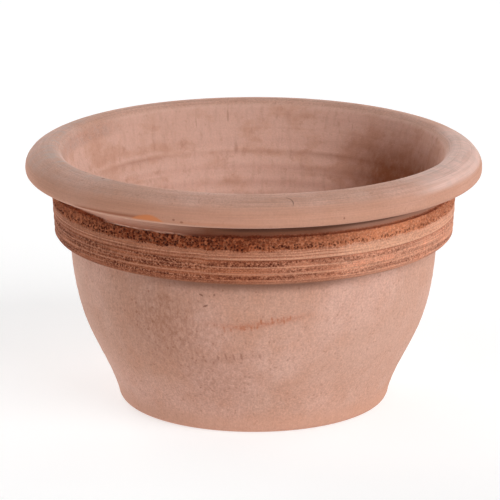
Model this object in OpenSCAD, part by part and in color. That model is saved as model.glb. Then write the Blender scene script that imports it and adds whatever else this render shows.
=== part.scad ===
// Terracotta pot with a rolled rim and a rough, combed band under it.
// The pot is made of four members of fired clay, all turned about one
// upright axis: the floor, the thrown wall, the applied band and the rim coil.
// Millimetres, +Z up, origin at the centre of the base on the ground.

/* [Overall] */
// Height from the ground to the top of the rim
height = 200; // [196:1:215]
// Outside diameter of the rim, the widest part of the pot
rim_d = 350; // [344:1:366]

/* [Wall] */
// Outside diameter just above the rounded edge at the ground
foot_d = 210; // [202:1:216]
// Outside diameter where the wall goes behind the band
shoulder_d = 283; // [278:1:290]
// Outside diameter of the neck, between the band and the rim
neck_d = 300; // [294:1:304]
// Thickness of the wall behind the band
wall_t = 11; // [8:0.5:13]
// How much thicker the wall is just above the floor
heel_extra = 3; // [0:0.5:4]
// Radius of the rounded edge at the ground
foot_round = 8; // [2:0.5:9]

/* [Floor] */
// Height of the floor's upper face above the ground
floor_top = 13; // [9:0.5:18]
// How far the floor's underside is hollowed above the ground
floor_hollow = 1.5; // [0.5:0.5:3]
// Diameter of the floor slab, whose edge joins the wall's foot
floor_d = 168; // [156:1:172]
// Diameter of the drain hole
drain_d = 24; // [8:1:40]

/* [Band] */
// Height of the band's lower edge above the ground
band_bottom = 128; // [122:1:134]
// Height of the band's rough face
band_h = 39; // [32:0.5:41]
// Outside diameter at the top of the rough face
band_top_d = 310; // [307:0.5:314]
// Outside diameter just above the rounded lower edge
band_low_d = 306.4; // [303:0.2:309]
// Height of the rounded lower edge
band_round = 6.5; // [3:0.5:12]

/* [Rim] */
// Height of the rim from its underside to its top
rim_h = 23; // [21:0.5:25]
// Height of the widest line above the underside
rim_belly = 7; // [4:0.5:10]
// Diameter of the rim's highest line
crest_d = 308; // [304:1:314]
// How full the roll is below its widest line, from 2 for an ellipse to 4 for a box
rim_fullness = 2.8; // [2:0.1:4]
// Diameter of the mouth at the inner lip
mouth_d = 292; // [286:1:296]
// Depth of the rounding over the inner lip
lip_drop = 7; // [4:0.5:10]
// How full that rounding is, from 1.2, almost a bevel with a crisp edge, to 2 for an ellipse
lip_fullness = 1.5; // [1.2:0.1:2]

/* [Hidden] */
$fn = 180;

rim_r = rim_d / 2;
neck_r = neck_d / 2;
foot_r = foot_d / 2;
shoulder_r = shoulder_d / 2;
floor_r = floor_d / 2;
crest_r = crest_d / 2;
mouth_r = mouth_d / 2;
band_top_r = band_top_d / 2;
band_low_r = band_low_d / 2;

rim_z = height - rim_h;
belly_z = rim_z + rim_belly;
band_top = band_bottom + band_h;
// the rim's underside is flat out to here and then curls up to the widest line
under_r = crest_r + 10;
// the inner lip, and how the inside face runs straight from it down to the band's lower edge
lip_z = height - lip_drop;
throat_r = shoulder_r - wall_t;
// the rim stands on the wall's top edge from here, on that straight face, out to the neck
seat_r = mouth_r + (throat_r - mouth_r) * (lip_z - rim_z) / (lip_z - band_bottom);
// the band's top is smeared on to the neck up to here, from just behind its edge
smear_z = rim_z - 4;
smear_r = band_top_r - 0.8;
smear_foot = band_top + 0.5;
// the inner face of the wall at the top of its heel
heel_z = floor_top + 13;
heel_r = foot_r + 5.5 - wall_t - heel_extra;

// control points of the wall's outer and inner faces, and of the heel inside
OUTER = [[foot_r, foot_round], [foot_r + 11.5, 47], [shoulder_r - 5.5, 52], [shoulder_r, band_bottom]];
INNER = [[heel_r, heel_z], [heel_r + 4.5, heel_z + 24], [throat_r - 6, 52], [throat_r, band_bottom]];
HEEL = [[floor_r, floor_top], [heel_r - 3, floor_top], [heel_r - 1, floor_top + 5], [heel_r, heel_z]];

// the point at share t of a cubic curve with four control points
function cubic(p, t) = p[0] * pow(1 - t, 3) + 3 * p[1] * t * pow(1 - t, 2)
    + 3 * p[2] * t * t * (1 - t) + p[3] * pow(t, 3);
// n points along a cubic curve, from its start, without its end
function forward(p, n) = [for (i = [0 : n - 1]) cubic(p, i / n)];
// n points along a cubic curve, from its end back, without its start
function back(p, n) = [for (i = [n : -1 : 1]) cubic(p, i / n)];
// a sine or cosine made fuller, so that an ellipse turns boxy as the fullness goes up from 2
function full(x, fullness) = sign(x) * pow(abs(x), 2 / fullness);
// n points along an ellipse about c between two angles, without the last
function arc(c, rx, rz, from, to, n, fullness = 2) =
    [for (i = [0 : n - 1]) let (a = from + (to - from) * i / n)
        c + [rx * full(cos(a), fullness), rz * full(sin(a), fullness)]];

module turned(colour, outline) {
    color(colour) rotate_extrude() polygon(outline);
}

module floor_slab() {
    color([0.74, 0.56, 0.48]) difference() {
        translate([0, 0, floor_hollow]) cylinder(r = floor_r, h = floor_top - floor_hollow);
        cylinder(d = drain_d, h = floor_top + 1);
    }
}

module wall() {
    turned([0.74, 0.57, 0.49], concat(
        [[floor_r, 0]],
        arc([foot_r - foot_round, foot_round], foot_round, foot_round, -90, 0, 6),
        forward(OUTER, 24),
        [[shoulder_r, band_bottom], [neck_r, smear_z], [neck_r, rim_z], [seat_r, rim_z]],
        back(INNER, 20),
        back(HEEL, 6),
        [[floor_r, floor_top]]));
}

module band() {
    turned([0.62, 0.36, 0.27], concat(
        arc([shoulder_r, band_bottom + band_round], band_low_r - shoulder_r, band_round, -90, 0, 8),
        [[band_low_r, band_bottom + band_round], [band_top_r, band_top]],
        arc([smear_r, smear_z], smear_r - neck_r, smear_z - smear_foot, -90, -180, 6),
        [[neck_r, smear_z]]));
}

module rim() {
    turned([0.77, 0.59, 0.51], concat(
        [[seat_r, rim_z]],
        arc([under_r, belly_z], rim_r - under_r, rim_belly, -90, 0, 10, rim_fullness),
        arc([crest_r, belly_z], rim_r - crest_r, rim_h - rim_belly, 0, 90, 12),
        arc([crest_r, lip_z], crest_r - mouth_r, lip_drop, 90, 180, 8, lip_fullness),
        [[mouth_r, lip_z]]));
}

floor_slab();  // floor
wall();
band();
rim();
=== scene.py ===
"""Looks of the terracotta pot: turned clay surfaces, procedural clay and soft studio light.

The shapes follow the CAD model's own outlines, in millimetres, and are turned into dense
meshes whose surfaces carry the potter's marks: throwing rings, comb lines, torn clay.
Round the pot, 0 degrees is the front (-Y) and 90 degrees is the right (+X).
"""

import math

import bpy
import numpy as np
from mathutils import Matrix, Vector


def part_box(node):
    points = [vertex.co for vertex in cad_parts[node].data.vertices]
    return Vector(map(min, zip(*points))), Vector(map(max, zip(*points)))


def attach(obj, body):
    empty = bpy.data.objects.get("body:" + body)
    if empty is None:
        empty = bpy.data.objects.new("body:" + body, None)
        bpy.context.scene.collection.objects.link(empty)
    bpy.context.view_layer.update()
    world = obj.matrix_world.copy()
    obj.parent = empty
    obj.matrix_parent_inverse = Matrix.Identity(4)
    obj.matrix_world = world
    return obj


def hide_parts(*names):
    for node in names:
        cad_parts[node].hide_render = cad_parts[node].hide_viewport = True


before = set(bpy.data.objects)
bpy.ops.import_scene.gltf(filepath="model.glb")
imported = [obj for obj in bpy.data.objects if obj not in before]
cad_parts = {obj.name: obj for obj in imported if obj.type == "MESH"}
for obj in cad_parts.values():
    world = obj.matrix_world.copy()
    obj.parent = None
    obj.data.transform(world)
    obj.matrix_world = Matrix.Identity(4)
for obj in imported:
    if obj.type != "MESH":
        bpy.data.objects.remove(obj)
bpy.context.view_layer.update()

MM = 0.001


def node_box(node):
    """A CAD node's lowest and highest corners, in millimetres."""
    low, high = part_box(node)
    return [c / MM for c in low], [c / MM for c in high]


# ---------------------------------------------------------------- sizes, in millimetres
RIM_LOW, RIM_HIGH = node_box("rim")
WALL_HIGH = node_box("wall")[1]
BAND_LOW, BAND_HIGH = node_box("band")
FLOOR_LOW, FLOOR_HIGH = node_box("floor")

TOP = RIM_HIGH[2]
RIM_Z = RIM_LOW[2]
RIM_R = RIM_HIGH[0]
NECK_R = WALL_HIGH[0]
BAND_Z = BAND_LOW[2]
SMEAR_Z = BAND_HIGH[2]
BAND_R = BAND_HIGH[0]
FLOOR_R = FLOOR_HIGH[0]
HOLLOW_Z = FLOOR_LOW[2]
FLOOR_Z = FLOOR_HIGH[2]

# what the boxes do not give: the same distances as in part.scad
WALL_T = 11.0
FOOT_R = RIM_R - 70
FOOT_ROUND = 8.0
SHOULDER_R = NECK_R - 8.5
THROAT_R = SHOULDER_R - WALL_T
BAND_TOP = BAND_Z + 39
BAND_LOW_R = BAND_R - 1.8
BAND_ROUND = 6.5
CREST_R = RIM_R - 21
MOUTH_R = RIM_R - 29
UNDER_R = CREST_R + 10
BELLY_Z = RIM_Z + 7
LIP_Z = TOP - 7
SEAT_R = MOUTH_R + (THROAT_R - MOUTH_R) * (LIP_Z - RIM_Z) / (LIP_Z - BAND_Z)
RIM_FULLNESS = 2.8
LIP_FULLNESS = 1.5
HEEL_Z = FLOOR_Z + 13
HEEL_R = FOOT_R - 8.5
DRAIN_R = 12.0

OUTER = [(FOOT_R, FOOT_ROUND), (FOOT_R + 11.5, 47), (SHOULDER_R - 5.5, 52), (SHOULDER_R, BAND_Z)]
INNER = [(THROAT_R, BAND_Z), (THROAT_R - 6, 52), (HEEL_R + 4.5, HEEL_Z + 24), (HEEL_R, HEEL_Z)]
HEEL = [(HEEL_R, HEEL_Z), (HEEL_R - 1, FLOOR_Z + 5), (HEEL_R - 3, FLOOR_Z), (FLOOR_R, FLOOR_Z)]

# every surface lies this far inside the CAD's on average, so that no mark comes out of its box
INSET = 0.3
# the two throwing rings that are plain to see on the inside, and where the wall's outline, measured
# along it, has turned over from the outside to the inside
HIGH_RING = RIM_Z - 16.7
LOW_RING = BAND_Z + 15.3
TURNED_IN = 190


# ---------------------------------------------------------------- outlines
def cubic(p, n):
    """n points along a cubic curve, from its start, without its end."""
    p = np.array(p, float)
    t = (np.arange(n) / n)[:, None]
    return (p[0] * (1 - t) ** 3 + 3 * p[1] * t * (1 - t) ** 2
            + 3 * p[2] * t * t * (1 - t) + p[3] * t ** 3)


def line(a, b, n):
    """n points from a towards b, without b."""
    t = (np.arange(n) / n)[:, None]
    return np.array(a, float) * (1 - t) + np.array(b, float) * t


def arc(centre, rx, rz, start, end, n, fullness=2.0):
    """n points along an ellipse between two angles in degrees, without the last.
    It turns boxy as the fullness goes up from 2."""
    a = np.radians(start + (end - start) * np.arange(n) / n)
    c, s = np.cos(a), np.sin(a)
    c, s = [np.sign(v) * np.abs(v) ** (2 / fullness) for v in (c, s)]
    return np.stack([centre[0] + rx * c, centre[1] + rz * s], 1)


def spaced(points, n):
    """The same open outline with n points at even steps, its last one left out."""
    step = np.linalg.norm(np.diff(points, axis=0), axis=1)
    run = np.concatenate([[0], np.cumsum(step)])
    at = np.linspace(0, run[-1], n + 1)[:-1]
    return np.stack([np.interp(at, run, points[:, k]) for k in (0, 1)], 1)


# An outline is a list of stretches. Each is its points, and whether it touches another member.
SHOWN, JOINED = False, True


def wall_outline():
    return [
        (line((FLOOR_R, 0), (FOOT_R - FOOT_ROUND, 0), 5), SHOWN),
        (arc((FOOT_R - FOOT_ROUND, FOOT_ROUND), FOOT_ROUND, FOOT_ROUND, -90, 0, 9), SHOWN),
        (spaced(cubic(OUTER, 300), 100), SHOWN),
        (line((SHOULDER_R, BAND_Z), (NECK_R, SMEAR_Z), 4), JOINED),
        (line((NECK_R, SMEAR_Z), (NECK_R, RIM_Z), 4), SHOWN),
        (line((NECK_R, RIM_Z), (SEAT_R, RIM_Z), 2), JOINED),
        (line((SEAT_R, RIM_Z), (THROAT_R, BAND_Z), 34), SHOWN),
        (spaced(cubic(INNER, 300), 48), SHOWN),
        (spaced(cubic(HEEL, 60), 10), SHOWN),
        (line((FLOOR_R, FLOOR_Z), (FLOOR_R, 0), 3), JOINED)]


def band_outline():
    smear_r, smear_foot, sunk = BAND_R - 0.8, BAND_TOP + 0.5, 0.8
    edge_z = BAND_Z + BAND_ROUND
    return [
        (arc((SHOULDER_R, edge_z), BAND_LOW_R - SHOULDER_R, BAND_ROUND, -90, 0, 16), SHOWN),
        (line((BAND_LOW_R, edge_z), (BAND_R, BAND_TOP), 56), SHOWN),
        (arc((smear_r, SMEAR_Z), smear_r - NECK_R, SMEAR_Z - smear_foot, -90, -180, 11), SHOWN),
        (line((NECK_R - sunk, SMEAR_Z), (SHOULDER_R - sunk, BAND_Z), 5), JOINED)]


def rim_outline():
    under = arc((UNDER_R, BELLY_Z), RIM_R - UNDER_R, BELLY_Z - RIM_Z, -90, 0, 200, RIM_FULLNESS)
    crown = arc((CREST_R, BELLY_Z), RIM_R - CREST_R, TOP - BELLY_Z, 0, 90, 200)
    lip = arc((CREST_R, LIP_Z), CREST_R - MOUTH_R, TOP - LIP_Z, 90, 180, 100, LIP_FULLNESS)
    return [
        (line((SEAT_R, RIM_Z), (NECK_R, RIM_Z), 3), JOINED),
        (line((NECK_R, RIM_Z), (UNDER_R, RIM_Z), 10), SHOWN),
        (spaced(under, 18), SHOWN),
        (spaced(crown, 46), SHOWN),
        (spaced(lip, 16), SHOWN),
        (line((MOUTH_R, LIP_Z), (SEAT_R, RIM_Z), 14), SHOWN)]


def floor_outline():
    edge = 2.5
    return [
        (line((DRAIN_R + edge, HOLLOW_Z), (FLOOR_R, HOLLOW_Z), 20), SHOWN),
        (line((FLOOR_R, HOLLOW_Z), (FLOOR_R, FLOOR_Z), 3), JOINED),
        (line((FLOOR_R, FLOOR_Z), (DRAIN_R + edge, FLOOR_Z), 30), SHOWN),
        (arc((DRAIN_R + edge, FLOOR_Z - edge), edge, edge, 90, 180, 5), SHOWN),
        (line((DRAIN_R, FLOOR_Z - edge), (DRAIN_R, HOLLOW_Z + edge), 5), SHOWN),
        (arc((DRAIN_R + edge, HOLLOW_Z + edge), edge, edge, 180, 270, 5), SHOWN)]


def normals_of(points, joined):
    """Outward normals of a closed outline that runs counter-clockwise; none where members touch.
    At the end of a shown stretch the normal is that stretch's own, so that members stay flush."""
    after = np.roll(points, -1, 0) - points
    before = np.roll(after, 1, 0)
    joined_before = np.roll(joined, 1)
    after = after * ~joined[:, None]
    before = before * ~joined_before[:, None]
    along = after + before
    along /= np.maximum(np.linalg.norm(along, axis=1, keepdims=True), 1e-9)
    return np.stack([along[:, 1], -along[:, 0]], 1)


# ---------------------------------------------------------------- smooth random marks
def ripple(phi, z, seed, turns, pitch, count=28):
    """A smooth field of unit spread: up to `turns` waves round the pot, and waves about `pitch` mm
    apart in height."""
    rng = np.random.default_rng(seed)
    total = np.zeros(np.broadcast(phi, z).shape)
    for _ in range(count):
        m = rng.integers(0, turns + 1)
        k = 2 * math.pi / (pitch * rng.uniform(0.6, 1.7)) * rng.choice([-1, 1])
        total += np.cos(m * phi + k * z + rng.uniform(0, 2 * math.pi))
    return total * math.sqrt(2 / count)


def round_ripple(phi, seed, turns, count=28):
    """A ripple that changes only round the pot, and not with the height."""
    endless = 1e9
    return ripple(phi, 0 * phi, seed, turns, endless, count)


def grain(phi, z, radius, size, seed):
    """Random grain of unit spread round the pot, (round, up) mm in size, at the heights z."""
    steps, pitch, tall = phi.shape[0], 0.5, 240
    rows = int(tall / pitch)
    white = np.random.default_rng(seed).standard_normal((steps, rows))
    fx = np.fft.fftfreq(steps, 2 * math.pi * radius / steps)[:, None]
    fz = np.fft.rfftfreq(rows, pitch)[None, :]
    soft = np.exp(-2 * math.pi ** 2 * ((fx * size[0]) ** 2 + (fz * size[1]) ** 2))
    field = np.fft.irfft2(np.fft.rfft2(white) * soft, s=(steps, rows))
    field /= field.std()
    at = z[0] / pitch
    low = np.floor(at).astype(int)
    share = at - low
    return field[:, low] * (1 - share) + field[:, low + 1] * share


def bell(x, centre, width):
    """1 at the centre, and all but 0 two widths away."""
    return np.exp(-((x - centre) / width) ** 2)


def smooth(x, a, b):
    """0 up to a, rising smoothly to 1 at b."""
    t = np.clip((x - a) / (b - a), 0, 1)
    return t * t * (3 - 2 * t)


def between(x, a, b, edge):
    """1 from a to b, falling to 0 over `edge` outside them."""
    return smooth(x, a - edge, a) * (1 - smooth(x, b, b + edge))


def gap(phi, degrees):
    """How far round the pot, in degrees, phi is from a place."""
    return (np.degrees(phi) - degrees + 180) % 360 - 180


# ---------------------------------------------------------------- meshes
def turned(name, node, outline, steps, shape):
    """A closed ring turned from an outline. shape(phi, r, z, run) gives how far each corner is pushed
    along its normal, in mm, and a dictionary of marks that the material reads as attributes."""
    points = np.concatenate([p for p, _ in outline])
    joined = np.concatenate([np.full(len(p), j) for p, j in outline])
    normal = normals_of(points, joined)
    step = np.linalg.norm(np.roll(points, -1, 0) - points, axis=1)
    run = np.concatenate([[0], np.cumsum(step)[:-1]])[None, :]
    phi = np.linspace(0, 2 * math.pi, steps, endpoint=False)[:, None]
    r, z = points[None, :, 0], points[None, :, 1]
    push, marks = shape(phi, r, z, run)
    rr = r + push * normal[None, :, 0]
    zz = z + push * normal[None, :, 1]
    n = len(points)
    corners = np.stack([rr * np.sin(phi), -rr * np.cos(phi), zz + 0 * phi], 2).reshape(-1, 3) * MM
    i, j = np.arange(steps)[:, None], np.arange(n)[None, :]
    i2, j2 = (i + 1) % steps, (j + 1) % n
    quads = np.stack([i * n + j, i2 * n + j, i2 * n + j2, i * n + j2], 2).reshape(-1, 4)
    mesh = bpy.data.meshes.new(name)
    mesh.vertices.add(len(corners))
    mesh.vertices.foreach_set("co", corners.ravel())
    mesh.loops.add(quads.size)
    mesh.loops.foreach_set("vertex_index", quads.ravel().astype(np.int32))
    mesh.polygons.add(len(quads))
    mesh.polygons.foreach_set("loop_start", np.arange(0, quads.size, 4, dtype=np.int32))
    mesh.update(calc_edges=True)
    mesh.polygons.foreach_set("use_smooth", np.ones(len(quads), bool))
    mesh.set_sharp_from_angle(angle=math.radians(60))
    for key, value in marks.items():
        layer = mesh.attributes.new(key, "FLOAT", "POINT")
        values = np.broadcast_to(value, (steps, n)).astype(np.float32)
        layer.data.foreach_set("value", values.ravel())
    piece = bpy.data.objects.new(name, mesh)
    bpy.context.scene.collection.objects.link(piece)
    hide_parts(node)
    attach(piece, "root")
    return piece


def hand(phi, z):
    """The hand's slow unevenness and the throwing rings: alike on every member, always inwards."""
    wobble = 0.10 * ripple(phi, z, 3, 3, 110) + 0.05 * ripple(phi, z, 4, 9, 45)
    rings = 0.05 * ripple(phi, z, 5, 1, 9) + 0.025 * ripple(phi, z, 6, 2, 3.5)
    return np.clip(wobble + rings - INSET, -0.7, -0.02) * smooth(z, 0.0, 5.0)


def painted_shade_under_rim(phi, z):
    """Painted shade: the dark line where the rim shades the neck below it, from the front round to the
    right.
    """
    return smooth(z, SMEAR_Z - 3.8, SMEAR_Z - 2) * between(gap(phi, 24), -26, 46, 14)


def inner_marks(phi, z):
    """The painted shadow low on the inside at the right, and the brown rings at the back."""
    back = between(gap(phi, 180), -70, 55, 25)
    rings = 0.55 * bell(z, HIGH_RING, 0.9) + 0.3 * bell(z, HIGH_RING - 1.7, 2.2)
    rings = rings + 0.3 * bell(z, LOW_RING, 0.9)
    rings = rings + 0.3 * bell(z, 151.5, 1.0) * (round_ripple(phi, 51, 9, 12) > 0)
    # painted shadow: the inside darkened low at the right, where the rim and wall shade it
    painted_shadow_inside = between(gap(phi, 121), -26, 9, 28) * (1 - smooth(z, 154, 197))
    painted_shadow_inside = painted_shadow_inside * (0.25 + 0.75 * smooth(z, 84, 140))
    return {"rings": np.clip(rings * back * (0.75 + 0.25 * round_ripple(phi, 52, 12, 12)), 0, 1),
            "painted_shadow_inside": painted_shadow_inside}


def wall_shape(phi, r, z, run):
    """Ridges inside, and outside the scuffs, clouds and shades that the photo shows."""
    inside = smooth(run, TURNED_IN, TURNED_IN + 6)
    push = hand(phi, z)
    # throwing ridges left by the fingers inside, two of them plain to see under the rim
    ridges = 0.22 * bell(z, HIGH_RING + 0.2, 1.6) + 0.2 * bell(z, LOW_RING, 1.8)
    ridges = ridges - 0.2 * bell(z, (HIGH_RING + LOW_RING) / 2 + 0.2, 4)
    ridges = ridges + 0.22 * ripple(phi, z, 7, 1, 16)
    push = push + inside * ridges * smooth(z, 20, 60) * (1 - smooth(z, 168, 176))
    # two rows of scuffs in front, reddish above and brown below, whose height changes along them
    front = gap(phi, 0)
    row = np.interp(front, [-15, -3.6, 3.7, 10.5, 18], [94.5, 93.3, 96.6, 99, 102])
    strong = np.interp(front, [-17, -13, -8, -4, 0, 5, 10, 12, 15, 20],
                       [0, 0.4, 0.45, 1, 0.8, 1, 1, 0.7, 0.4, 0])
    red = bell(z, row, 2.4) * strong
    low_row = np.interp(front, [-18, 3.7], [61.5, 72])
    brown = bell(z, low_row, 3.2) * between(front, -17, 1, 4)
    cloud = bell(gap(phi, -31), 0, 15) * bell(z, 96, 34)
    cloud = cloud + 0.5 * bell(gap(phi, -16), 0, 16) * bell(z, 62, 48)
    cloud = cloud + 0.32 * bell(gap(phi, -7), 0, 19) * bell(z, 42, 26)
    pale = 0.6 * bell(gap(phi, 47), 0, 34) * bell(z, 70, 50) + 0.7 * bell(gap(phi, -78), 0, 20)
    return push, inner_marks(phi, z) | {
        "painted_shade_under_rim": painted_shade_under_rim(phi, z) * (1 - inside),
        "inside": inside,
        "scuff_red": red * (1 - inside),
        "scuff_brown": brown * (1 - inside),
        "cloud": cloud * (1 - inside),
        "pale": pale * (1 - inside),
        "foot": (1 - smooth(z, 6, 22)) * (1 - inside),
        # painted shadow on the wall just under the band, strongest in front
        "painted_shadow_under_band": smooth(z, BAND_Z - 8.5, BAND_Z - 1) * between(front, -18, 16, 26) * (1 - inside)}


# The comb's raised and cut lines: height above the band's lower edge, width and depth, in mm.
# The pale lines at the left: height and strength.
RAISED_LINES = ((21.9, 0.75, 0.5), (15.7, 0.6, 0.25), (10.6, 0.6, 0.25), (5.3, 0.5, 0.2))
CUT_LINES = ((20.4, 0.7, 0.8), (23.6, 0.5, 0.3), (7.9, 0.9, 0.35), (3.6, 0.6, 0.35))
LEFT_LINES = ((27.4, 0.55), (24.4, 0.6), (19, 0.5), (16.2, 0.3), (13.4, 0.45), (10.2, 0.35), (7, 0.45))


def band_torn(phi, z, up, known, left):
    """The torn clay above the comb's lines: how coarse it is round the pot, where it is, the height of
    its lower edge above the band's own, and the height of its upper edge above the ground."""
    coarse = 0.35 + 0.28 * round_ripple(phi, 11, 7, 12)
    seen = np.interp(gap(phi, 0), [-105, -72, -58, -48, -38, -3, 8, 24, 36, 47, 60, 90],
                     [0.6, 0.85, 0.7, 0.8, 1, 0.98, 0.78, 0.55, 0.34, 0.36, 0.6, 0.55])
    coarse = np.clip(known * seen + (1 - known) * coarse, 0.2, 1.0)
    edge = 0.9 * round_ripple(phi, 12, 60, 30)
    foot = 29.6 - coarse + 0.35 * edge
    head = BAND_TOP + 0.5 + 0.5 * left + 0.2 * edge * coarse
    head = head - 1.8 * between(gap(phi, -30), -8, 10, 16)
    torn = smooth(up, foot - 2.1, foot + 1.7) * (1 - smooth(z, head, head + 1.2))
    return coarse, torn, foot, head


def band_scratches(phi, z, climb):
    """The comb's fine scratches, as a wave between about -1 and 1."""
    pitch = 1.45
    fine = np.cos(2 * math.pi * (z - climb) / pitch + 0.9 * ripple(phi, z, 13, 9, 14))
    return fine * (0.6 + 0.4 * ripple(phi, z, 14, 14, 8))


def band_lines(up, fine, left, right):
    """How far the comb's lines and fine scratches stand out, in mm."""
    lines = 0.0
    for height, width, depth in RAISED_LINES:
        lines = lines + depth * bell(up, height, width)
    for height, width, depth in CUT_LINES:
        lines = lines - depth * bell(up, height, width)
    scratched = (between(up, 23, 28.8, 0.8) + 0.8 * between(up, 1, 6.5, 0.8)
                 + 0.35 * between(up, 8, 20, 1))
    return (lines + 0.14 * fine * scratched) * (1 - 0.35 * right - 0.3 * left)


def band_dragged(phi, z, up, known, left, right):
    """Where the comb dragged grains along: in rows between its lines, and at the left all over."""
    patchy = np.clip(0.6 + 0.35 * ripple(phi, z, 15, 16, 9), 0.1, 1.2)
    rows = (between(up, 16.4, 19.8, 0.5) + 0.75 * between(up, 11.6, 14.8, 0.5)
            + between(up, 6.3, 9.2, 0.5) + 0.25 * between(up, 1.5, 5, 0.8))
    return (rows * (1 - 0.75 * smooth(gap(phi, 0), 8, 34) * known)
            + 0.34 * left * between(up, 2, 22, 1) + 0.2 * between(up, 22.5, 29, 0.5)
            + 0.25 * right * between(up, 3, 19.5, 1)) * patchy


def band_pale(phi, up, fine, known, left, right):
    """Where the comb left the clay pale: on its raised lines and in its upper zone above all."""
    pale = (bell(up, 21.9, 0.6) + 0.75 * bell(up, 15.7, 0.5) + 0.7 * bell(up, 10.6, 0.5)
            + 0.4 * bell(up, 25.2, 0.5) + between(up, 22.8, 29.2, 0.8) * (0.4 + 0.22 * fine)
            + 0.18 * between(up, 2, 6, 0.7) * (0.6 + 0.5 * fine))
    pale = pale * (1 - 0.55 * left) * (1 - 0.6 * right * (1 - smooth(up, 19, 21.5)))
    pale = pale + 0.45 * right * between(up, 21.5, 30, 1.5)
    pale = pale * (1 - 0.22 * between(gap(phi, -14), -22, 18, 10))
    pale = pale * (1 - 0.4 * smooth(gap(phi, 0), 44, 60) * known)
    for height, strength in LEFT_LINES:
        pale = pale + strength * left * bell(up, height, 0.4)
    return pale


def band_shape(phi, r, z, run):
    """The torn upper zone of the band, and the comb's lines and dragged grains below it."""
    front = gap(phi, 0)
    # the part that the photo shows, with its left and its right; behind, the same marks are random
    known = between(front, -100, 85, 20)
    left = between(gap(phi, -57), -45, 40, 8) * known
    right = between(gap(phi, 58), -26, 40, 12) * known
    # the comb went once round, and came back a little higher at the place where it began, so `up`,
    # the height above the band's lower edge, is taken as the comb ran
    seam = gap(phi, -13.0) % 360
    climb = 0.8 * (seam / 360 - smooth(seam, 357.5, 360))
    up = z - climb - BAND_Z
    face = smooth(run, 3, 8) * (1 - smooth(z, BAND_TOP - 0.2, BAND_TOP + 0.6))
    top_face = smooth(run, 8, 12)
    coarse, torn, torn_foot, torn_head = band_torn(phi, z, up, known, left)
    chunks = 0.95 * grain(phi, z, BAND_R, (0.43, 0.38), 21)
    chunks = chunks + 0.25 * grain(phi, z, BAND_R, (1.1, 0.8), 24)
    pits = smooth(chunks, -0.2 - 0.2 * coarse, 1.1) * torn * np.clip(coarse * 1.25, 0, 1)
    crumbs = smooth(-chunks, 0.4, 1.5) * torn * coarse
    fine = band_scratches(phi, z, climb)
    lines = band_lines(up, fine, left, right)
    speck = grain(phi, z, BAND_R, (0.5, 0.36), 23)
    dragged = band_dragged(phi, z, up, known, left, right)
    grit = smooth(speck, 0.25, 1.3) * dragged
    # a real crevice at the band's top, pressed in, and its colour also darkened as painted shade
    crevice = bell(z, BAND_TOP + 0.4, 0.5) * between(gap(phi, 16), -30, 44, 8)
    push = hand(phi, z) - pits + 0.35 * crumbs
    push = push + face * (lines * (1 - torn) - 0.45 * grit) - 0.5 * crevice * top_face
    push = push * smooth(run, 0, 4)
    pale = band_pale(phi, up, fine, known, left, right)
    dotted = known * np.interp(front, [-105, -58, -48, -38, -16, 0, 24, 40, 90],
                               [0.45, 0.5, 0.7, 1, 1, 0.5, 0.3, 0.15, 0.12])
    dotted = dotted + (1 - known) * coarse + 0.55 * bell(up, torn_foot + 2.0, 2.0)
    groove = bell(up, 20.4, 0.6) + 0.5 * bell(up, 7.9, 0.8) + 0.6 * bell(up, 3.6, 0.6)
    scratched = (between(up, 22.9, 29, 0.6) + 0.5 * between(up, 6.5, 22, 0.6)
                 + 1.1 * between(up, -8, 5.5, 0.6))
    warm = np.clip(right + 0.45 * between(gap(phi, 16), -6, 20, 14), 0, 1)
    return push, {
        "run": run,
        "pit": np.clip(pits, 0, 1),
        "crumb": np.clip(crumbs, 0, 1),
        "torn": torn,
        "coarse": coarse,
        "dotted": np.clip(dotted, 0, 1),
        "grit": np.clip(grit, 0, 1),
        "dragged": np.clip(dragged, 0, 1) * face,
        "pale": np.clip(pale, 0, 1) * face * (1 - torn),
        "groove": groove * face * (1 - 0.4 * left),
        "crevice": crevice,
        # painted shade where the band's lower edge turns under
        "below": (1 - smooth(z, BAND_Z + 0.6, BAND_Z + 3.6)) * between(gap(phi, 2), -58, 60, 20),
        "fine": scratched * (1 - 0.75 * right),
        "neck": smooth(z, torn_head - 0.2, torn_head + 0.9) * (1 - torn),
        # from the neck's painted light at the left to dirt and painted shade in front, under the rim's
        # overhang
        "neck_shade_and_dirt": np.interp(front, [-42, -26, -13, 18, 30, 62, 76],
                                [0, 0.35, 1, 1, 0.65, 0.75, 0]),
        "painted_shade_under_rim": painted_shade_under_rim(phi, z),
        "warm": warm + (1 - known) * smooth(round_ripple(phi, 16, 5), -0.3, 1.2)}


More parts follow.
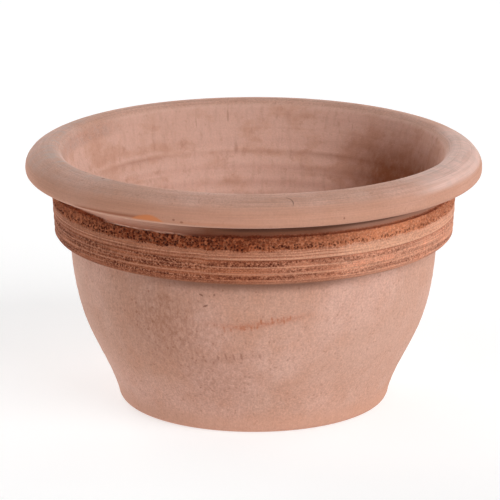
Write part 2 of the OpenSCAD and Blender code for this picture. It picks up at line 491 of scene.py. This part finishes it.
def rim_shape(phi, r, z, run):
    """Fine wiped lines round the roll, a grey bloom on its top, and a crease and a rust-coloured
    patch low on its face at the left. Here `up` is the height above the rim's underside, and `out`
    the distance outside its crest."""
    up, out = z - RIM_Z, r - CREST_R
    inner_start = float(run[0, -1]) - 22
    outside = smooth(run, 8, 16) * (1 - smooth(run, inner_start - 2, inner_start + 4))
    wiped = 0.035 * ripple(phi, run, 31, 2, 5) + 0.02 * ripple(phi, run, 32, 5, 2.2)
    fold = -0.35 * bell(up, 2.6, 0.8) * between(gap(phi, -36), -16, 14, 9) * smooth(out, 16, 18)
    push = hand(phi, z) + outside * (np.clip(wiped, -0.12, 0.12) + fold)
    on_top = smooth(up, 11, 15.5) * smooth(out, -7, -2)
    crest = 1 - smooth(out, 6, 14)
    left = between(gap(phi, -70), -26, 24, 16)
    right = between(gap(phi, 74), -20, 26, 14)
    ends = between(gap(phi, -98), -16, 22, 14) + 0.6 * between(gap(phi, 104), -10, 24, 10)
    front = between(gap(phi, -8), -34, 34, 22)
    near_lip = 1 - smooth(out, 2, 10)
    bloom = on_top * ((0.16 * crest + 0.1 * ripple(phi, r, 33, 5, 30)) * (1 - 0.7 * front)
                      + left * (0.2 + 0.55 * near_lip) + 0.42 * right + 0.4 * ends)
    # on the left the bloom goes on over the lip and a little way down inside
    over = between(gap(phi, -84), -40, 44, 16) * smooth(up, 5, 10) * (1 - smooth(out, -7, -2))
    bloom = np.maximum(bloom, 0.6 * over)
    aside = gap(phi, -25.8)
    dome = 3.0 + 5.0 * (1 - (aside / np.where(aside > 0, 3.6, 5.2)) ** 2)
    rust = smooth(up, 2, 3.4) * (1 - smooth(up, dome - 1.0, dome + 0.6))
    rust = (rust + 0.25 * bell(gap(phi, -12), 0, 12) * bell(up, 4, 1.0)) * smooth(out, 14, 18)
    crease = between(gap(phi, -37), -9, 7, 6) * smooth(out, 14, 18)
    crease = crease * bell(up, 4.2 + 0.09 * gap(phi, -37), 1.3)
    worn = bell(gap(phi, -22), 0, 26) * smooth(out, 4, 14) * smooth(up, 0, 2)
    # painted light: the downward-facing lower lip lightened at the left
    painted_light_under_lip = between(gap(phi, -44), -24, 24, 14) * (1 - smooth(up, 1.4, 3))
    return push, inner_marks(phi, z) | {
        "run": run,
        "inside": (1 - smooth(r, MOUTH_R + 0.3, MOUTH_R + 3.5)) * (1 - 0.8 * over),
        "bloom": np.clip(bloom, 0, 1),
        "rust": np.clip(rust, 0, 1),
        "crease": crease,
        "worn": worn * (1 - 0.75 * smooth(up, 11, 17)),
        # painted light on the rim's top at the right
        "painted_light_on_top": on_top * right,
        "painted_light_under_lip": painted_light_under_lip * smooth(out, 4, 14),
        # painted highlight along the inner lip's edge
        "lip": bell(r, MOUTH_R + 2.6, 1.6) * smooth(up, 16.5, 18.5) * between(gap(phi, 0), -75, 75, 15),
        "face": smooth(out, 12, 19) * smooth(up, 0, 3) * (1 - smooth(up, 15, 20)),
        "top": smooth(up, 13, 19) * smooth(r, MOUTH_R + 0.3, MOUTH_R + 3.5)}


def floor_shape(phi, r, z, run):
    """The spiral left in the slab's upper face, and the ragged edge of its drain hole."""
    spiral = 0.25 * np.sin(2 * math.pi * (r / 9 - phi / (2 * math.pi)))
    torn_edge = 0.5 * ripple(phi, z, 41, 11, 20) * (1 - smooth(r, DRAIN_R, DRAIN_R + 5))
    fade = 1 - smooth(r, FLOOR_R - 8, FLOOR_R - 1)
    push = (spiral * smooth(z, 8, 12) - INSET - np.abs(torn_edge)) * fade
    return push, {"inside": smooth(z, 8, 12)}


wall = turned("wall_clay", "wall", wall_outline(), 440, wall_shape)
band = turned("band_clay", "band", band_outline(), 1130, band_shape)
rim = turned("rim_clay", "rim", rim_outline(), 900, rim_shape)
floor = turned("floor_clay", "floor", floor_outline(), 240, floor_shape)


# ---------------------------------------------------------------- materials
def srgb(r, g, b):
    """A colour from 0 to 255 as the eye sees it, as the shader's linear colour."""
    out = []
    for c in (r, g, b):
        c /= 255
        out.append(c / 12.92 if c <= 0.04045 else ((c + 0.055) / 1.055) ** 2.4)
    return (*out, 1.0)


class Paint:
    """A node material, with a short call for each kind of node that it needs."""

    def __init__(self, name):
        self.material = bpy.data.materials.new(name)
        self.material.use_nodes = True
        self.tree = self.material.node_tree
        self.shader = self.tree.nodes["Principled BSDF"]
        self.place = self.add("ShaderNodeTexCoord").outputs["Object"]

    def add(self, kind, **settings):
        node = self.tree.nodes.new(kind)
        for key, value in settings.items():
            setattr(node, key, value)
        return node

    def feed(self, socket, value):
        if isinstance(value, bpy.types.NodeSocket):
            self.tree.links.new(value, socket)
        else:
            socket.default_value = value

    def maths(self, kind, a, b=0.0):
        node = self.add("ShaderNodeMath", operation=kind)
        self.feed(node.inputs[0], a)
        self.feed(node.inputs[1], b)
        return node.outputs[0]

    def times(self, a, b):
        return self.maths("MULTIPLY", a, b)

    def plus(self, a, b):
        return self.maths("ADD", a, b)

    def mark(self, name):
        return self.add("ShaderNodeAttribute", attribute_name=name).outputs["Fac"]

    def scaled(self, x, y, z):
        """The place on the pot, squeezed by a factor along each axis."""
        node = self.add("ShaderNodeVectorMath", operation="MULTIPLY")
        self.feed(node.inputs[0], self.place)
        node.inputs[1].default_value = (x, y, z)
        return node.outputs[0]

    def along(self, tight):
        """A place that changes fast across the turned outline and slowly round the pot."""
        split = self.add("ShaderNodeSeparateXYZ")
        self.feed(split.inputs[0], self.place)
        joined = self.add("ShaderNodeCombineXYZ")
        self.feed(joined.inputs[0], self.times(split.outputs[0], 0.02))
        self.feed(joined.inputs[1], self.times(split.outputs[1], 0.02))
        self.feed(joined.inputs[2], self.times(self.mark("run"), tight * MM))
        return joined.outputs[0]

    def noise(self, size, detail=2.0, rough=0.5, at=None):
        """Cloudy noise round 0.5 whose blobs are about `size` mm across."""
        node = self.add("ShaderNodeTexNoise")
        self.feed(node.inputs["Vector"], at or self.place)
        node.inputs["Scale"].default_value = 1 / (size * MM)
        node.inputs["Detail"].default_value = detail
        node.inputs["Roughness"].default_value = rough
        return node.outputs["Fac"]

    def holes(self, size, radius, share):
        """Small crisp dots of a radius in mm: one in each cell of `size` mm, in that share of the
        cells."""
        node = self.add("ShaderNodeTexVoronoi")
        self.feed(node.inputs["Vector"], self.place)
        node.inputs["Scale"].default_value = 1 / (size * MM)
        split = self.add("ShaderNodeSeparateXYZ")
        self.feed(split.inputs[0], node.outputs["Color"])
        dot = self.ease(node.outputs["Distance"], 0.6 * radius / size, radius / size, 1.0, 0.0)
        return self.times(dot, self.ease(split.outputs[0], 1 - share, 1.05 - share))

    def combed(self, pitch):
        """Fine level lines, `pitch` mm apart, that waver a little as they go round the pot."""
        split = self.add("ShaderNodeSeparateXYZ")
        self.feed(split.inputs[0], self.place)
        level = self.times(split.outputs[2], 2 * math.pi / (pitch * MM))
        waver = self.times(self.noise(25, 2), 9.0)
        return self.ease(self.maths("SINE", self.plus(level, waver)), -0.3, 0.9)

    def ease(self, value, low, high, a=0.0, b=1.0):
        """value eased from a where it is low to b where it is high."""
        node = self.add("ShaderNodeMapRange", interpolation_type="SMOOTHSTEP")
        self.feed(node.inputs["Value"], value)
        for key, number in (("From Min", low), ("From Max", high), ("To Min", a), ("To Max", b)):
            node.inputs[key].default_value = number
        return node.outputs["Result"]

    def mix(self, share, a, b, blend="MIX"):
        node = self.add("ShaderNodeMix", data_type="RGBA", blend_type=blend)
        self.feed(node.inputs[0], share)
        self.feed(node.inputs[6], a)
        self.feed(node.inputs[7], b)
        return node.outputs[2]

    def tint(self, colour, mark, share, tone):
        """The colour, with up to that share of the tone where the mark is 1."""
        return self.mix(self.times(self.mark(mark), share), colour, tone)

    def dot(self, degrees, z, r, size, tilt=0.0):
        """1 in the middle of a small oval mark on the pot, 0 outside it. Its size is in mm: along
        the pot, up it and into it."""
        a = math.radians(degrees)
        node = self.add("ShaderNodeMapping", vector_type="TEXTURE")
        self.feed(node.inputs["Vector"], self.place)
        node.inputs["Location"].default_value = (r * MM * math.sin(a), -r * MM * math.cos(a), z * MM)
        node.inputs["Rotation"].default_value = (0, math.radians(tilt), a)
        node.inputs["Scale"].default_value = (size[0] * MM, size[2] * MM, size[1] * MM)
        away = self.add("ShaderNodeVectorMath", operation="LENGTH")
        self.feed(away.inputs[0], node.outputs[0])
        return self.ease(away.outputs["Value"], 0.35, 1.0, 1.0, 0.0)

    def curl(self, degrees, r, radius, width):
        """A hairline crack on the rim's top: a quarter of a circle, seen from above, in mm."""
        a = math.radians(degrees)
        node = self.add("ShaderNodeMapping", vector_type="TEXTURE")
        self.feed(node.inputs["Vector"], self.place)
        node.inputs["Location"].default_value = (r * MM * math.sin(a), -r * MM * math.cos(a), 0)
        node.inputs["Rotation"].default_value = (0, 0, a)
        node.inputs["Scale"].default_value = (MM, MM, 1)
        away = self.add("ShaderNodeVectorMath", operation="LENGTH")
        self.feed(away.inputs[0], node.outputs[0])
        split = self.add("ShaderNodeSeparateXYZ")
        self.feed(split.inputs[0], node.outputs[0])
        off = self.maths("ABSOLUTE", self.plus(away.outputs["Value"], -radius))
        ring = self.ease(off, 0.3 * width, width, 1.0, 0.0)
        part = self.times(self.ease(split.outputs[0], 1.0, 3.5), self.ease(split.outputs[1], -2.0, 0.5))
        return self.times(ring, part)

    def finish(self, colour, height, rough, depth):
        """Sets the shader: dry fired clay, with the height map as a bump `depth` mm deep."""
        bump = self.add("ShaderNodeBump")
        bump.inputs["Distance"].default_value = depth * MM
        bump.inputs["Strength"].default_value = 1.0
        self.feed(bump.inputs["Height"], height)
        self.feed(self.shader.inputs["Base Color"], colour)
        self.feed(self.shader.inputs["Roughness"], rough)
        self.feed(self.shader.inputs["Normal"], bump.outputs[0])
        self.shader.inputs["Specular IOR Level"].default_value = 0.18
        return self.material


# colours of the clay that all members share
PINK = srgb(208, 163, 146)
TERRACOTTA = srgb(197, 151, 131)
ORANGE = srgb(194, 142, 118)
DUST = srgb(218, 184, 171)
BROWN = srgb(152, 102, 80)
RUST = srgb(202, 124, 80)
GREY = srgb(188, 164, 154)
# pale lime, which also serves as painted light that lightens the inside
LIME_AND_PAINTED_LIGHT = srgb(230, 190, 174)

# colours of the inside, and of the shadow painted low in it at the right
DAMP = srgb(190, 136, 106)
BLOT = srgb(174, 122, 98)
RING = srgb(160, 108, 84)
RUN = srgb(146, 94, 68)
INSIDE_SHADOW = srgb(138, 82, 51)

# colours of marks on the wall, and of the shade painted under the band and under the rim
STIPPLE = srgb(140, 88, 66)
FOOT = srgb(202, 150, 126)
BAND_SHADE = srgb(134, 92, 74)
SCUFF_RED = srgb(174, 96, 62)
SCUFF_BROWN = srgb(140, 92, 74)
DENT = srgb(120, 72, 54)
RIM_SHADE = srgb(96, 70, 58)

# colours of marks on the rim, and of light painted on its top at the right, on its inner lip and on its
# lower lip
WORN = srgb(176, 124, 100)
PAINTED_LIGHT_ON_TOP = srgb(232, 194, 182)
WIPED = srgb(164, 124, 108)
LIP_HIGHLIGHT = srgb(224, 192, 182)
CREASE = srgb(146, 88, 64)
UNDER_LIP_LIGHT = srgb(228, 186, 168)
CRACK = srgb(96, 64, 50)
SPECK = srgb(120, 70, 50)

# colours of the band: its cooler left and warmer right part, its torn clay, its neck and its marks, with
# painted light and shade on the neck, in the crevice and on the underside
COOL_A = srgb(158, 92, 64)
COOL_B = srgb(172, 104, 74)
WARM_A = srgb(208, 146, 118)
WARM_B = srgb(218, 148, 118)
TORN_FINE = srgb(240, 158, 116)
TORN_COARSE = srgb(150, 72, 39)
CRUMB_COOL = srgb(200, 127, 90)
CRUMB_WARM = srgb(230, 168, 136)
GRAIN_COOL = srgb(204, 142, 110)
GRAIN_WARM = srgb(222, 172, 146)
NECK_PAINTED_LIGHT = srgb(246, 206, 186)
NECK_SHADE_AND_DIRT = srgb(146, 102, 80)
COMBED = srgb(219, 165, 136)
GROOVE = srgb(128, 62, 38)
SCRATCH = srgb(146, 84, 60)
GRAIN_DARK = srgb(112, 54, 34)
GRIT = srgb(106, 48, 28)
SMALL_HOLE = srgb(92, 38, 22)
HOLE = srgb(74, 24, 9)
CRUMB = srgb(190, 128, 94)
PIT = srgb(92, 36, 18)
NECK_SHADE = srgb(84, 60, 50)
CREVICE_SHADE = srgb(118, 56, 36)
BAND_UNDERSIDE_SHADE = srgb(124, 88, 68)

# Small marks, each with its degrees round the pot, its height in mm and, except in the two rows of
# strokes, its radius in mm. Then come, in mm: a run's width and height, a stroke's height, a dent's
# length, with its tilt in degrees and its strength, and a speck's length and depth.
RUNS = ((-171.8, 188.0, 144.6, 1.3, 7.5), (-174.2, 163.5, 138.4, 2.6, 7.0),
        (-161.4, 185.0, 143.4, 0.6, 8.5), (147.0, 184.0, 142.9, 0.7, 5.0))
RED_STROKES = ((-9.2, 91.4, 4.2), (-7.1, 90.6, 3.0), (-0.8, 92.6, 4.0), (1.0, 93.4, 3.2),
               (2.2, 97.6, 4.6), (5.6, 98.6, 4.8), (7.3, 98.6, 3.6), (9.2, 98.8, 4.6),
               (11.2, 100.6, 3.2))
BROWN_STROKES = ((-16.0, 63.4, 2.2), (-13.4, 62.0, 3.4), (-11.7, 67.2, 3.2), (-9.1, 68.2, 4.6),
                 (-6.5, 67.8, 4.6), (-4.0, 68.6, 4.4), (1.9, 69.4, 3.2))
DENTS = ((-16.1, 117.9, 140.7, 2.3, 25, 1.0), (-14.9, 109.4, 139.7, 2.4, -20, 1.0),
         (-12.0, 118.6, 140.7, 1.3, -70, 0.8), (-2.6, 80.3, 134.5, 1.4, 60, 0.4),
         (11.0, 65.1, 130.0, 1.6, -60, 0.45), (34.0, 84.5, 135.0, 1.0, 0, 0.6))
SPECKS = ((-17.5, 181.6, 174.8, 1.8, 3.0), (-19.5, 183.0, 175.0, 1.5, 3.0),
          (22.0, 183.5, 175.0, 1.0, 3.0), (-54.0, 199.6, 153.5, 1.2, 2.0),
          (-45.5, 199.6, 155.7, 1.6, 1.8), (-42.0, 199.6, 153.8, 1.0, 1.6))


def clay_body(paint):
    """The fired clay that every member shares: soft blotches, a dusting of lime and sandy grain."""
    blotch = paint.noise(70, 2, 0.5)
    colour = paint.mix(paint.ease(blotch, 0.38, 0.62), PINK, TERRACOTTA)
    cloud = paint.noise(21, 4, 0.6)
    colour = paint.mix(paint.ease(cloud, 0.42, 0.75, 0.0, 0.5), colour, ORANGE)
    dust = paint.noise(34, 5, 0.62, paint.scaled(1, 1, 0.6))
    colour = paint.mix(paint.ease(dust, 0.5, 0.78, 0.0, 0.26), colour, DUST)
    sand = paint.noise(1.5, 3, 0.65)
    grains = paint.ease(sand, 0.3, 0.7, 0.85, 1.1)
    colour = paint.mix(1.0, colour, grains, "MULTIPLY")
    speck = paint.ease(paint.noise(2.6, 1, 0.4, paint.scaled(1, 1, 0.8)), 0.68, 0.76, 0.0, 0.45)
    colour = paint.mix(speck, colour, BROWN)
    height = paint.plus(sand, paint.times(paint.noise(0.6, 2, 0.6), 0.5))
    return colour, height


def brushed(paint, colour, share):
    """Faint upright streaks, as a damp sponge leaves on the wall."""
    streak = paint.noise(1.5, 2, 0.6, paint.scaled(1, 1, 0.11))
    shade = paint.ease(streak, 0.3, 0.7, 1 - share, 1 + share)
    return paint.mix(1.0, colour, shade, "MULTIPLY")


def lived_in(paint, colour):
    """The inside, alike on the wall and the rim: pale with lime and with painted light, with brown patches,
    rings and runs, and a painted shadow low at the right.
    """
    inside = paint.mark("inside")
    # the inside made paler: partly lime, partly painted light that makes up for light the inside does not
    # get
    colour = paint.mix(paint.times(inside, 0.62), colour, LIME_AND_PAINTED_LIGHT)
    patch = paint.noise(26, 4, 0.6, paint.scaled(1, 1, 1.5))
    colour = paint.mix(paint.times(paint.ease(patch, 0.46, 0.7, 0.0, 0.42), inside), colour, DAMP)
    small = paint.noise(5.5, 3, 0.6, paint.scaled(1, 1, 0.8))
    colour = paint.mix(paint.times(paint.ease(small, 0.55, 0.75, 0.0, 0.3), inside), colour, BLOT)
    veil = paint.noise(4.0, 1, 0.5, paint.scaled(1, 1, 0.1))
    colour = paint.mix(paint.times(paint.ease(veil, 0.5, 0.8, 0.0, 0.13), inside), colour, BROWN)
    colour = paint.mix(paint.times(paint.times(paint.mark("rings"), inside), 0.55), colour, RING)
    runs = 0.0
    for degrees, z, r, wide, tall in RUNS:
        runs = paint.plus(runs, paint.dot(degrees, z, r, (wide, tall, 3.0)))
    colour = paint.mix(paint.times(paint.times(runs, inside), 0.34), colour, RUN)
    # painted shadow low on the inside at the right, a little uneven with the blots' noise
    painted_shadow_inside = paint.times(paint.times(paint.mark("painted_shadow_inside"), inside), paint.ease(small, 0.3, 0.6, 0.8, 0.95))
    return paint.mix(painted_shadow_inside, colour, INSIDE_SHADOW)


def wall_material():
    paint = Paint("terracotta_wall")
    colour, height = clay_body(paint)
    colour = brushed(paint, colour, 0.045)
    brush = paint.ease(paint.noise(2.6, 4, 0.7, paint.scaled(1, 1, 0.5)), 0.36, 0.64, 0.2, 0.62)
    colour = paint.mix(paint.times(paint.mark("cloud"), brush), colour, BROWN)
    colour = paint.tint(colour, "pale", 0.36, DUST)
    stipple = paint.times(paint.holes(3.0, 1.2, 0.4), paint.ease(paint.noise(14, 3, 0.6), 0.42, 0.62))
    stipple = paint.times(stipple, paint.plus(paint.times(paint.mark("cloud"), 0.35), 0.2))
    colour = paint.mix(stipple, colour, STIPPLE)
    colour = paint.tint(colour, "foot", 0.5, FOOT)
    # painted shadow on the wall under the band
    colour = paint.tint(colour, "painted_shadow_under_band", 0.75, BAND_SHADE)
    strokes = paint.dot(-3.4, 92.8, 137.2, (4.4, 3.2, 5.0))
    for degrees, z, tall in RED_STROKES:
        strokes = paint.maths("MAXIMUM", strokes, paint.dot(degrees, z, 138.0, (1.3, tall, 5.0), -8))
    patch = paint.ease(paint.noise(2.2, 2, 0.6), 0.36, 0.6, 0.35, 1.0)
    red = paint.times(paint.mark("scuff_red"), paint.times(patch, 0.6))
    red = paint.maths("MAXIMUM", red, paint.times(paint.times(strokes, patch), 0.7))
    colour = paint.mix(red, colour, SCUFF_RED)
    brown = paint.times(paint.mark("scuff_brown"), paint.times(patch, 0.14))
    for degrees, z, tall in BROWN_STROKES:
        stroke = paint.times(paint.dot(degrees, z, 131.0, (1.3, tall, 5.0), -12), 0.5)
        brown = paint.maths("MAXIMUM", brown, stroke)
    colour = paint.mix(brown, colour, SCUFF_BROWN)
    dents = 0.0
    for degrees, z, r, long, tilt, strength in DENTS:
        dent = paint.dot(degrees, z, r, (long, 0.9, 3.0), tilt)
        dents = paint.plus(dents, paint.times(dent, strength))
    colour = paint.mix(paint.times(dents, 0.6), colour, DENT)
    colour = lived_in(paint, colour)
    # painted shade on the wall just under the rim
    colour = paint.tint(colour, "painted_shade_under_rim", 0.6, RIM_SHADE)
    height = paint.plus(height, paint.times(dents, -3.0))
    height = paint.plus(height, paint.times(red, -0.8))
    rough = paint.ease(paint.noise(9, 2, 0.5), 0.3, 0.7, 0.86, 0.96)
    return paint.finish(colour, height, rough, 0.22)


def rim_material():
    paint = Paint("terracotta_rim")
    colour, height = clay_body(paint)
    streak = paint.noise(1.0, 3, 0.6, paint.along(1.0))
    wide = paint.noise(1.0, 2, 0.5, paint.along(0.25))
    outside = paint.maths("SUBTRACT", 1.0, paint.mark("inside"))
    colour = paint.tint(colour, "face", 0.6, ORANGE)
    colour = paint.tint(colour, "worn", 0.5, WORN)
    colour = paint.tint(colour, "top", 0.15, LIME_AND_PAINTED_LIGHT)
    # painted light on the rim's top at the right
    colour = paint.tint(colour, "painted_light_on_top", 0.85, PAINTED_LIGHT_ON_TOP)
    colour = paint.mix(paint.times(paint.ease(wide, 0.45, 0.7, 0.0, 0.3), outside), colour, ORANGE)
    shade = paint.mix(outside, (1, 1, 1, 1), paint.ease(streak, 0.3, 0.7, 0.94, 1.05))
    colour = paint.mix(1.0, colour, shade, "MULTIPLY")
    thin = paint.ease(paint.noise(1.0, 2, 0.6, paint.along(0.9)), 0.58, 0.68, 0.0, 0.35)
    colour = paint.mix(paint.times(thin, paint.mark("top")), colour, WIPED)
    scuffed = paint.ease(paint.noise(9, 5, 0.7, paint.scaled(0.6, 1.3, 1)), 0.42, 0.6, 0.25, 1.0)
    colour = paint.mix(paint.times(paint.times(paint.mark("bloom"), scuffed), 0.8), colour, GREY)
    colour = lived_in(paint, colour)
    # painted highlight along the inner lip's edge
    colour = paint.tint(colour, "lip", 0.6, LIP_HIGHLIGHT)
    colour = paint.tint(colour, "crease", 0.9, CREASE)
    colour = paint.tint(colour, "rust", 0.95, RUST)
    # painted light on the rim's lower lip, which faces down
    colour = paint.tint(colour, "painted_light_under_lip", 0.35, UNDER_LIP_LIGHT)
    crack = paint.times(paint.curl(7.5, 168.3, 6.6, 0.45), paint.mark("top"))
    colour = paint.mix(paint.times(crack, 0.6), colour, CRACK)
    dots = 0.0
    for degrees, z, r, long, deep in SPECKS:
        dots = paint.plus(dots, paint.dot(degrees, z, r, (long, 1.2, deep)))
    colour = paint.mix(paint.times(dots, 0.6), colour, SPECK)
    height = paint.plus(height, paint.times(paint.times(streak, outside), 0.9))
    height = paint.plus(height, paint.times(crack, -2.0))
    rough = paint.ease(paint.noise(9, 2, 0.5), 0.3, 0.7, 0.84, 0.95)
    return paint.finish(colour, height, rough, 0.2)


def floor_material():
    paint = Paint("terracotta_floor")
    colour, height = clay_body(paint)
    # the slab's upper face paler: partly lime, partly painted light, as on the pot's inside
    colour = paint.tint(colour, "inside", 0.55, LIME_AND_PAINTED_LIGHT)
    damp = paint.ease(paint.noise(28, 3, 0.6), 0.45, 0.7, 0.0, 0.4)
    colour = paint.mix(damp, colour, BROWN)
    rough = paint.ease(paint.noise(9, 2, 0.5), 0.3, 0.7, 0.88, 0.97)
    return paint.finish(colour, height, rough, 0.25)


def band_material():
    paint = Paint("terracotta_combed")
    sand = paint.noise(1.3, 3, 0.65)
    crumbly = paint.noise(1.35, 2, 0.75)
    dragged = paint.noise(1.05, 1, 0.7, paint.scaled(0.85, 0.85, 1.25))
    holes = paint.maths("MAXIMUM", paint.holes(1.9, 0.95, 0.7), paint.holes(2.7, 1.2, 0.6))
    crumbs = paint.holes(2.1, 0.95, 0.7)
    patch = paint.noise(16, 3, 0.6)
    cool = paint.mix(paint.ease(patch, 0.35, 0.65), COOL_A, COOL_B)
    warm = paint.mix(paint.ease(patch, 0.35, 0.65), WARM_A, WARM_B)
    colour = paint.mix(paint.mark("warm"), cool, warm)
    streak = paint.noise(1.0, 3, 0.65, paint.along(1.3))
    colour = paint.mix(1.0, colour, paint.ease(streak, 0.3, 0.7, 0.7, 1.24), "MULTIPLY")
    colour = paint.tint(colour, "pale", 0.92, COMBED)
    colour = paint.tint(colour, "groove", 0.6, GROOVE)
    dark_grain = paint.times(paint.ease(dragged, 0.51, 0.6), paint.mark("dragged"))
    pale_grain = paint.ease(dragged, 0.34, 0.46, 0.5, 0.0)
    scratches = paint.times(paint.times(paint.combed(2.15), paint.mark("fine")), 0.5)
    colour = paint.mix(scratches, colour, SCRATCH)
    colour = paint.mix(pale_grain, colour, paint.mix(paint.mark("warm"), GRAIN_COOL, GRAIN_WARM))
    colour = paint.mix(paint.times(dark_grain, 0.85), colour, GRAIN_DARK)
    colour = paint.tint(colour, "grit", 0.6, GRIT)
    sparse = paint.times(holes, paint.plus(paint.times(paint.mark("dragged"), 0.8), 0.08))
    colour = paint.mix(sparse, colour, SMALL_HOLE)
    # the torn clay, whose edges break up into its own grains
    torn = paint.ease(paint.plus(paint.mark("torn"), paint.times(paint.plus(crumbly, -0.5), 2.4)), 0.3, 0.7)
    broken = paint.mix(paint.mark("coarse"), TORN_FINE, TORN_COARSE)
    crumb_colour = paint.mix(paint.mark("warm"), CRUMB_COOL, CRUMB_WARM)
    broken = paint.mix(paint.ease(dragged, 0.36, 0.48, 0.3, 0.0), broken, crumb_colour)
    broken = paint.mix(paint.times(crumbs, 0.45), broken, crumb_colour)
    hole = paint.times(paint.ease(crumbly, 0.52, 0.6), paint.mark("coarse"))
    hole = paint.maths("MAXIMUM", paint.times(hole, 0.4), paint.times(holes, paint.mark("dotted")))
    broken = paint.mix(hole, broken, HOLE)
    broken = paint.tint(broken, "crumb", 0.25, CRUMB)
    broken = paint.tint(broken, "pit", 0.4, PIT)
    colour = paint.mix(torn, colour, broken)
    colour = paint.mix(1.0, colour, paint.ease(sand, 0.3, 0.7, 0.84, 1.12), "MULTIPLY")
    # the neck: lightened as painted light at the left, darker with dirt and painted shade in front
    neck = paint.mix(paint.mark("neck_shade_and_dirt"), NECK_PAINTED_LIGHT, NECK_SHADE_AND_DIRT)
    # painted shade on the neck just under the rim
    neck = paint.tint(neck, "painted_shade_under_rim", 0.85, NECK_SHADE)
    colour = paint.tint(colour, "neck", 0.9, neck)
    # painted shade in the crevice at the band's top
    colour = paint.tint(colour, "crevice", 0.8, CREVICE_SHADE)
    # painted shade along the band's lower edge
    colour = paint.tint(colour, "below", 0.7, BAND_UNDERSIDE_SHADE)
    height = paint.plus(sand, paint.times(streak, 0.8))
    height = paint.plus(height, paint.times(dark_grain, -0.8))
    height = paint.plus(height, paint.times(paint.times(torn, hole), -2.2))
    rough = paint.ease(sand, 0.3, 0.7, 0.85, 0.97)
    return paint.finish(colour, height, rough, 0.35)


wall.data.materials.append(wall_material())
rim.data.materials.append(rim_material())
floor.data.materials.append(floor_material())
band.data.materials.append(band_material())


# ---------------------------------------------------------------- camera, floor and light
def camera_at(back, up, pitch, lens, aside):
    """A camera in front of the pot, in metres back, up and aside, looking down by `pitch` degrees."""
    data = bpy.data.cameras.new("camera")
    data.sensor_width = 36
    data.lens = lens
    view = bpy.data.objects.new("camera", data)
    view.location = (aside, -back, up)
    view.rotation_euler = (math.radians(90 - pitch), 0, 0)
    bpy.context.scene.collection.objects.link(view)
    bpy.context.scene.camera = view


def pale_ground(half):
    """A plain white studio floor, `half` a side in metres, that glows so that shadows stay faint."""
    mesh = bpy.data.meshes.new("ground")
    corners = [(-half, -half, 0), (half, -half, 0), (half, half, 0), (-half, half, 0)]
    mesh.from_pydata(corners, [], [(0, 1, 2, 3)])
    ground = bpy.data.objects.new("ground", mesh)
    bpy.context.scene.collection.objects.link(ground)
    material = bpy.data.materials.new("ground")
    material.use_nodes = True
    shader = material.node_tree.nodes["Principled BSDF"]
    shader.inputs["Base Color"].default_value = (0.5, 0.5, 0.5, 1)
    shader.inputs["Roughness"].default_value = 1.0
    shader.inputs["Specular IOR Level"].default_value = 0.0
    shader.inputs["Emission Color"].default_value = (1, 1, 1, 1)
    shader.inputs["Emission Strength"].default_value = 0.61
    mesh.materials.append(material)


def soft_light(name, degrees, height, strength, spread=45):
    """A wide, soft light from a direction: degrees round the pot, and degrees above the floor."""
    data = bpy.data.lights.new(name, "SUN")
    data.energy = strength * math.pi
    data.angle = math.radians(spread)
    lamp = bpy.data.objects.new(name, data)
    a, e = math.radians(degrees), math.radians(height)
    towards = Vector((math.sin(a) * math.cos(e), -math.cos(a) * math.cos(e), math.sin(e)))
    lamp.rotation_euler = towards.to_track_quat("Z", "Y").to_euler()
    bpy.context.scene.collection.objects.link(lamp)


camera_at(back=2.8291, up=0.8923, pitch=15.36, lens=274.2, aside=-0.0029)
pale_ground(half=6)
for name, degrees, height, strength in (
        ("key_front_right", 43, 32, 0.66), ("front_left", 318, 50, 0.13), ("left", 283, 10, 0.11),
        ("back_right", 130, 12, 0.46), ("back", 180, 14, 0.28), ("back_left", 211, 10, 0.72)):
    soft_light(name, degrees, height, strength)


def pale_backdrop(seen, lit):
    """A world that looks as pale as `seen` behind the floor's edge, and lights the pot by only `lit`."""
    world = bpy.data.worlds.new("studio")
    world.use_nodes = True
    tree = world.node_tree
    light = tree.nodes["Background"]
    light.inputs[0].default_value = (1, 1, 1, 1)
    light.inputs[1].default_value = lit
    backdrop = tree.nodes.new("ShaderNodeBackground")
    backdrop.inputs[0].default_value = (1, 1, 1, 1)
    backdrop.inputs[1].default_value = seen
    choose = tree.nodes.new("ShaderNodeMixShader")
    tree.links.new(tree.nodes.new("ShaderNodeLightPath").outputs["Is Camera Ray"], choose.inputs[0])
    tree.links.new(light.outputs[0], choose.inputs[1])
    tree.links.new(backdrop.outputs[0], choose.inputs[2])
    tree.links.new(choose.outputs[0], tree.nodes["World Output"].inputs[0])
    bpy.context.scene.world = world


pale_backdrop(seen=0.94, lit=0.05)
bpy.context.scene.view_settings.view_transform = "Standard"
